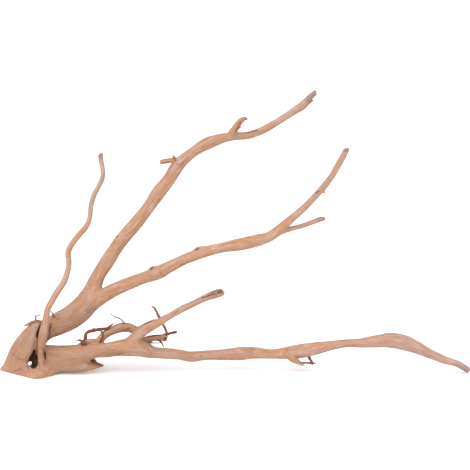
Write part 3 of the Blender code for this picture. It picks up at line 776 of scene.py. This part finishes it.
class Wire:
    """An output of a node, so that sums in a material are written as Python."""

    def __init__(self, shader, socket):
        self.shader = shader
        self.socket = socket

    def maths(self, operation, a, b):
        return self.shader.node("ShaderNodeMath", {"operation": operation}, {0: a, 1: b})

    def __add__(self, other):
        return self.maths("ADD", self, other)

    __radd__ = __add__

    def __sub__(self, other):
        return self.maths("SUBTRACT", self, other)

    def __rsub__(self, other):
        return self.maths("SUBTRACT", other, self)

    def __mul__(self, other):
        return self.maths("MULTIPLY", self, other)

    __rmul__ = __mul__


class Shader:
    """A material that is built node by node."""

    def __init__(self, name):
        self.material = bpy.data.materials.new(name)
        self.material.use_nodes = True
        self.tree = self.material.node_tree
        self.surface = self.tree.nodes["Principled BSDF"]

    def node(self, kind, settings=None, sockets=None, output=0):
        """Adds a node, sets it up, then fills its sockets with values or links, and returns one output."""
        made = self.tree.nodes.new(kind)
        for setting, value in (settings or {}).items():
            setattr(made, setting, value)
        for key, value in (sockets or {}).items():
            self.fill(made.inputs[key], value)
        return Wire(self, made.outputs[output])

    def fill(self, socket, value):
        if isinstance(value, Wire):
            self.tree.links.new(value.socket, socket)
        else:
            socket.default_value = value

    def attribute(self, name, output="Fac"):
        return self.node("ShaderNodeAttribute", {"attribute_name": name}, output=output)

    def mix(self, factor, a, b, blend="MIX"):
        """A colour between a and b."""
        settings = {"data_type": "RGBA", "blend_type": blend}
        return self.node("ShaderNodeMix", settings, {0: factor, 6: a, 7: b}, output=2)

    def between(self, value, low, high):
        """0 below low, 1 above high, and smooth between."""
        settings = {"interpolation_type": "SMOOTHSTEP"}
        sockets = {"Value": value, "From Min": low, "From Max": high}
        return self.node("ShaderNodeMapRange", settings, sockets)

    def finish(self, **sockets):
        for name, value in sockets.items():
            self.fill(self.surface.inputs[name.replace("_", " ")], value)
        return self.material


def opaque(colour):
    return (*colour, 1.0)


def grain_noise(shader, width, stretch, detail, shift, roughness=0.5):
    """Noise whose patches are this wide across the grain and that many times as long along it."""
    scale = (1 / width, 1 / width, 1 / (width * stretch))
    total = 0.0
    for layer in range(LAYERS):
        place = shader.attribute(f"grain_{layer}", "Vector")
        moved = shader.node("ShaderNodeVectorMath", {"operation": "MULTIPLY_ADD"}, {
            0: place, 1: scale, 2: (shift, shift, shift),
        })
        pattern = shader.node("ShaderNodeTexNoise", {}, {
            "Vector": moved, "Scale": 1.0, "Detail": detail, "Roughness": roughness,
        })
        total = pattern * shader.attribute(f"weight_{layer}") + total
    return total


def wood_material(colours):
    """Bare, bark-free wood: tan and pink, streaked with orange along the grain, with painted shade in its
    hollows, creases and undersides and over the stump.
    """
    shader = Shader("bare_wood")
    patches = {}

    def lay(colour, coats):
        for name, (strength, width, stretch, detail, shift, low, high) in coats.items():
            pattern = grain_noise(shader, width, stretch, detail, shift)
            patches[name] = shader.between(pattern, low, high)
            colour = shader.mix(patches[name] * strength, colour, opaque(getattr(colours, name)))
        return colour

    colour = lay(opaque(colours.tan), UNDERCOATS)
    colour = shader.mix(shader.attribute("sawn") * SAWN_STRENGTH, colour, opaque(colours.sawn))
    colour = lay(colour, TOPCOATS)
    # painted shade, nearly black, inside the hollows of the stump
    colour = shader.mix(shader.attribute("hollow"), colour, opaque(colours.hollow))
    fibres = grain_noise(shader, **FIBRES)
    broken = STAIN_BREAKUP * (fibres - 0.5)
    # these layers are real stains and also painted shade: the broad brown over the stump and stems, and marks
    # in creases, hollows and on undersides
    for name, strength in STAINS_AND_SHADE.items():
        mask = shader.between(shader.attribute(name) + broken, 0.1, 0.9)
        colour = shader.mix(mask * strength, colour, opaque(getattr(colours, name)))
    shade = SHADE + FIBRE_SHADE * fibres
    grey_shade = shader.node("ShaderNodeCombineColor", {}, {0: shade, 1: shade, 2: shade})
    colour = shader.mix(1.0, colour, grey_shade, "MULTIPLY")
    height = fibres * FIBRE_RISE
    for name, rise in RISES.items():
        height = height + patches[name] * rise
    bump = shader.node("ShaderNodeBump", {}, {"Strength": 0.8, "Distance": 0.0007, "Height": height})
    roughness = ROUGHNESS + FIBRE_ROUGHNESS * fibres
    return shader.finish(Base_Color=colour, Roughness=roughness, Normal=bump)


def rootlet_material(colours):
    """The grey-brown of thin dead rootlets, dark red where they are thick."""
    shader = Shader("dry_rootlet")
    place = shader.node("ShaderNodeTexCoord", output="Object")
    patches = shader.node("ShaderNodeTexNoise", {}, {"Vector": place, "Scale": 260.0, "Detail": 3.0})
    flecks = shader.node("ShaderNodeTexNoise", {}, {"Vector": place, "Scale": 520.0, "Detail": 2.0})
    redness = shader.between(shader.attribute("redness") + (patches - 0.5) * 1.6, 0.2, 0.9)
    colour = shader.mix(redness, opaque(colours.rootlet), opaque(colours.rootlet_red))
    colour = shader.mix(shader.between(flecks, 0.52, 0.62) * 0.6, colour, opaque(colours.dark))
    bump = shader.node("ShaderNodeBump", {}, {"Strength": 0.6, "Distance": 0.0005, "Height": patches})
    return shader.finish(Base_Color=colour, Roughness=0.8, Normal=bump)


def floor_material(colour):
    """Matt pale paper."""
    shader = Shader("pale_paper")
    place = shader.node("ShaderNodeTexCoord", output="Object")
    fibre = shader.node("ShaderNodeTexNoise", {}, {"Vector": place, "Scale": 300.0, "Detail": 2.0})
    bump = shader.node("ShaderNodeBump", {}, {"Strength": 0.05, "Distance": 0.0002, "Height": fibre})
    return shader.finish(Base_Color=opaque(colour), Roughness=0.95, Normal=bump)


def length(name, description, default):
    return bpy.props.FloatProperty(
        name=name, description=description, default=default, unit="LENGTH", precision=5,
    )


def tint(name, description, default):
    return bpy.props.FloatVectorProperty(
        name=name, description=description, default=default, subtype="COLOR", min=0.0, max=1.0,
    )


class BogwoodSizes(bpy.types.PropertyGroup):
    rough_voxel: length("Rough detail", "How fine the limbs are first grown together", 0.0015)
    skin_voxel: length("Skin detail", "How far apart the points of the finished skin are", 0.0011)
    most_triangles: bpy.props.IntProperty(
        name="Most triangles", description="How many triangles the finished skin has", default=190000,
        subtype="UNSIGNED",
    )
    broad_relief: length("Broad relief", "How far the wood swells and sinks along its grain", 0.0009)
    fine_relief: length("Fine relief", "How deep the furrows along the grain are", 0.0003)
    fork_fillet: bpy.props.FloatProperty(
        name="Fork fillet", description="How widely forks are rounded, in radii of the thinner limb",
        default=0.6, min=0.05, max=2.0, subtype="FACTOR",
    )


class BogwoodColours(bpy.types.PropertyGroup):
    tan: tint("Tan", "Most of the bare wood", (0.428, 0.272, 0.198))
    orange: tint("Orange", "Warm patches along the grain", (0.436, 0.216, 0.112))
    rust: tint("Rust", "Broad warm stretches", (0.385, 0.188, 0.110))
    pink: tint("Pink", "Rosy patches along the grain", (0.452, 0.254, 0.208))
    pale: tint("Pale", "Light streaks", (0.545, 0.392, 0.312))
    amber: tint("Amber", "Small yellow-brown patches", (0.395, 0.234, 0.130))
    brown: tint("Brown", "Darker streaks", (0.300, 0.130, 0.070))
    # also used for painted shade in the crack over the shard
    dark: tint("Dark", "Flecks, cracks and knots", (0.075, 0.026, 0.016))
    sawn: tint("Sawn", "The flat saw cut of the heel", (0.500, 0.265, 0.160))
    # the brown of the painted shade over the stump, the thick stems and the fork, also used for two dark
    # lines
    shade_and_lines: tint("Dusk", "Dull brown of the stump and the thick stems", (0.250, 0.118, 0.058))
    dust: tint("Dust", "Greyish pink of the far ends", (0.420, 0.272, 0.222))
    ochre: tint("Ochre", "Yellow-brown stains", (0.340, 0.165, 0.055))
    # fine seams and cracks, and also painted shade lines along the slit, a crease and undersides
    seam: tint("Seam", "Fine seams and cracks", (0.180, 0.075, 0.042))
    # also used for painted shade in creases, the main hollow and on undersides
    red: tint("Red", "Dark red stains at roots and creases", (0.215, 0.072, 0.036))
    grey: tint("Grey", "Weathered ends", (0.225, 0.150, 0.135))
    # the near-black painted shade inside the hollows
    hollow: tint("Hollow", "Inside the hollows of the stump", (0.030, 0.008, 0.004))
    rootlet: tint("Rootlet", "Thin rootlets", (0.190, 0.150, 0.118))
    rootlet_red: tint("Red rootlet", "Redder parts of the rootlets", (0.140, 0.042, 0.021))


class BogwoodStudio(bpy.types.PropertyGroup):
    floor: tint("Floor", "The pale floor", (0.89, 0.89, 0.89))
    floor_size: length("Floor size", "How wide the floor is", 30.0)
    sky: bpy.props.FloatProperty(
        name="Sky", description="Strength of the light from all round", default=0.95, subtype="UNSIGNED",
    )
    key: bpy.props.FloatProperty(
        name="Key", description="Strength of the soft light from above", default=3.15, subtype="UNSIGNED",
    )
    lens: bpy.props.FloatProperty(
        name="Lens", description="Focal length in millimetres", default=135.0, unit="CAMERA",
    )


class BOGWOOD_OT_skin(bpy.types.Operator):
    """Grow the stump, stems, branches and roots together as one skin"""

    bl_idname = "bogwood.skin"
    bl_label = "Wood"

    LIMB_ROUNDNESS, HOLLOW_ROUNDNESS = 6, 4
    FIT_ROUNDS, FIT_REACH, FIT_SHARE = 5, 3, 0.9
    FULL_RELIEF_RADIUS, THIN_RELIEF = 9, 0.3
    EDGE_FADE, SAWN_RELIEF, SAWN_EDGE = 2, 0.15, 0.8

    def execute(self, context):
        sizes = context.scene.bogwood_sizes
        wood = Wood(sizes.fork_fillet)
        tubes = []
        for name, limb in wood.limbs.items():
            tube = add_tube(name, np.column_stack([limb.axis, limb.radius]), self.LIMB_ROUNDNESS)
            limb.press(tube.data)
            tubes.append(tube)
        shoot = tubes.pop()
        skin = join_as("wood", tubes)
        apply(skin, "REMESH", mode="VOXEL", voxel_size=sizes.rough_voxel)
        carve(skin, wood.offcut())
        for name, hollow in wood.hollows.items():
            rows = np.column_stack([hollow.axis, hollow.radius])
            cutter = add_tube(name, rows, self.HOLLOW_ROUNDNESS)
            hollow.press(cutter.data)
            carve(skin, cutter)
        skin = join_as("wood", [skin, shoot])
        saw_off(skin, (0, 0, 0), (0, 0, -1))
        apply(skin, "REMESH", mode="VOXEL", voxel_size=sizes.skin_voxel)
        self.fit(skin.data, wood)
        self.finish(skin.data, wood, sizes, context.scene.bogwood_studio.lens)
        triangles = sum(len(face.vertices) - 2 for face in skin.data.polygons)
        apply(skin, "DECIMATE", ratio=sizes.most_triangles / triangles)
        skin.data.materials.clear()
        skin.data.materials.append(wood_material(context.scene.bogwood_colours))
        skin.data.shade_smooth()
        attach(skin, "root")
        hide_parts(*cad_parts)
        return {"FINISHED"}

    def fit(self, mesh, wood):
        """Moves every point of the skin along its normal onto the wood's distance field."""
        for _ in range(self.FIT_ROUNDS):
            points = points_of(mesh)
            field, _ = wood.measure(points)
            step = np.clip(field, -self.FIT_REACH, self.FIT_REACH)[:, None]
            points -= step * normals_of(mesh) * self.FIT_SHARE
            points[:, 2] = points[:, 2].clip(0)
            place_points(mesh, points)

    def finish(self, mesh, wood, sizes, lens):
        """Roughens the wood along its grain and stores what its material reads."""
        points = points_of(mesh)
        _, facts = wood.measure(points)
        height = relief(facts, sizes.fine_relief / MM, sizes.broad_relief / MM)
        thick = np.clip(facts["radius"] / self.FULL_RELIEF_RADIUS, self.THIN_RELIEF, 1)
        height *= thick * np.clip(points[:, 2] / self.EDGE_FADE, 0, 1)
        height *= np.clip(-facts["facet"] / self.EDGE_FADE, self.SAWN_RELIEF, 1)
        stains_and_shade = {name: np.zeros(len(points)) for name in STAINS_AND_SHADE}
        for stain, half_width, route in BROAD_STAINS_AND_SHADE.values():
            amount = np.exp(-((gap_to(points, route) / half_width) ** 2))
            stains_and_shade[stain] = np.maximum(stains_and_shade[stain], amount)
        sight = Sight(mesh, lens)
        for stain, lift, half_width, pixels in SEEN_MARKS.values():
            gap = gap_to(points, [sight.place(pixel) for pixel in pixels])
            height += lift * np.exp(-((gap / half_width / LIFT_SPREAD) ** 2))
            stains_and_shade[stain] = np.maximum(stains_and_shade[stain], np.exp(-((gap / half_width) ** 2)))
        points += normals_of(mesh) * height[:, None]
        points[:, 2] = points[:, 2].clip(0)
        place_points(mesh, points)
        for layer in range(LAYERS):
            add_values(mesh, f"grain_{layer}", facts["grains"][:, layer] * MM)
            add_values(mesh, f"weight_{layer}", facts["weights"][:, layer])
        # the painted shade inside the hollows is stored under the name hollow
        add_values(mesh, "hollow", facts["hollow_shade"])
        add_values(mesh, "sawn", np.clip(1 + facts["facet"] / self.SAWN_EDGE, 0, 1))
        # the stains, together with the painted shade
        for name, amounts in stains_and_shade.items():
            add_values(mesh, name, amounts)


class BOGWOOD_OT_rootlets(bpy.types.Operator):
    """Add the hair rootlets"""

    bl_idname = "bogwood.rootlets"
    bl_label = "Rootlets"

    PITCH, ROUNDNESS = 0.8, 3
    SEED, BENDS, WOBBLE = 3, 3, 0.35
    LUMPS, LUMPINESS = 2, 0.5

    def execute(self, context):
        noise.seed_set(self.SEED)
        strands = []
        for name, (redness, route) in ROOTLETS.items():
            rows = smooth_rows(route, self.PITCH)
            for row in rows[1:-1]:
                row[:3] += np.array(noise.noise_vector(row[:3] / self.BENDS)) * self.WOBBLE
                row[3] *= 1 + self.LUMPINESS * noise.noise(row[:3] / self.LUMPS)
            strand = add_tube(name, rows, self.ROUNDNESS)
            add_values(strand.data, "redness", np.full(len(strand.data.vertices), redness))
            strands.append(strand)
        rootlets = join_as("rootlets", strands)
        rootlets.data.materials.clear()
        rootlets.data.materials.append(rootlet_material(context.scene.bogwood_colours))
        rootlets.data.shade_smooth()
        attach(rootlets, "root")
        return {"FINISHED"}


class BOGWOOD_OT_stage(bpy.types.Operator):
    """Add the floor, the light and the camera of the photograph"""

    bl_idname = "bogwood.stage"
    bl_label = "Stage"

    def execute(self, context):
        studio = context.scene.bogwood_studio
        clear_selection()
        bpy.ops.mesh.primitive_plane_add(size=studio.floor_size, location=(0, 0, 0))
        floor = context.object
        floor.name = "floor"
        floor.data.materials.append(floor_material(studio.floor))
        bpy.ops.object.light_add(type="SUN", location=KEY_PLACE, rotation=KEY_TURN)
        key = context.object
        key.name = "key"
        key.data.energy = studio.key
        key.data.angle = KEY_SPREAD
        world = bpy.data.worlds.new("studio")
        world.use_nodes = True
        background = world.node_tree.nodes["Background"]
        background.inputs["Color"].default_value = (1, 1, 1, 1)
        background.inputs["Strength"].default_value = studio.sky
        context.scene.world = world
        bpy.ops.object.camera_add(location=CAMERA_PLACE, rotation=(math.pi / 2 - CAMERA_DIP, 0, 0))
        camera = context.object
        camera.name = "camera"
        camera.data.lens = studio.lens
        camera.data.sensor_width = SENSOR_MM
        context.scene.camera = camera
        context.scene.view_settings.view_transform = "Standard"
        return {"FINISHED"}


class BOGWOOD_PT_panel(bpy.types.Panel):
    """Lists the sizes, the colours and the operators"""

    bl_label = "Bogwood"
    bl_idname = "BOGWOOD_PT_panel"
    bl_space_type = "VIEW_3D"
    bl_region_type = "UI"
    bl_category = "Bogwood"

    def draw(self, context):
        for name, group in GROUPS.items():
            box = self.layout.box()
            for setting in group.__annotations__:
                box.prop(getattr(context.scene, name), setting)
        for operator in OPERATORS:
            self.layout.operator(operator.bl_idname)


OPERATORS = (BOGWOOD_OT_skin, BOGWOOD_OT_rootlets, BOGWOOD_OT_stage)
GROUPS = {
    "bogwood_sizes": BogwoodSizes, "bogwood_colours": BogwoodColours, "bogwood_studio": BogwoodStudio,
}


def register():
    for kind in (*GROUPS.values(), *OPERATORS, BOGWOOD_PT_panel):
        bpy.utils.register_class(kind)
    for name, group in GROUPS.items():
        setattr(bpy.types.Scene, name, bpy.props.PointerProperty(type=group))


def unregister():
    for name in GROUPS:
        delattr(bpy.types.Scene, name)
    for kind in (BOGWOOD_PT_panel, *OPERATORS, *GROUPS.values()):
        bpy.utils.unregister_class(kind)


def main():
    register()
    bpy.ops.bogwood.skin()
    bpy.ops.bogwood.rootlets()
    bpy.ops.bogwood.stage()


if __name__ == "__main__":
    main()
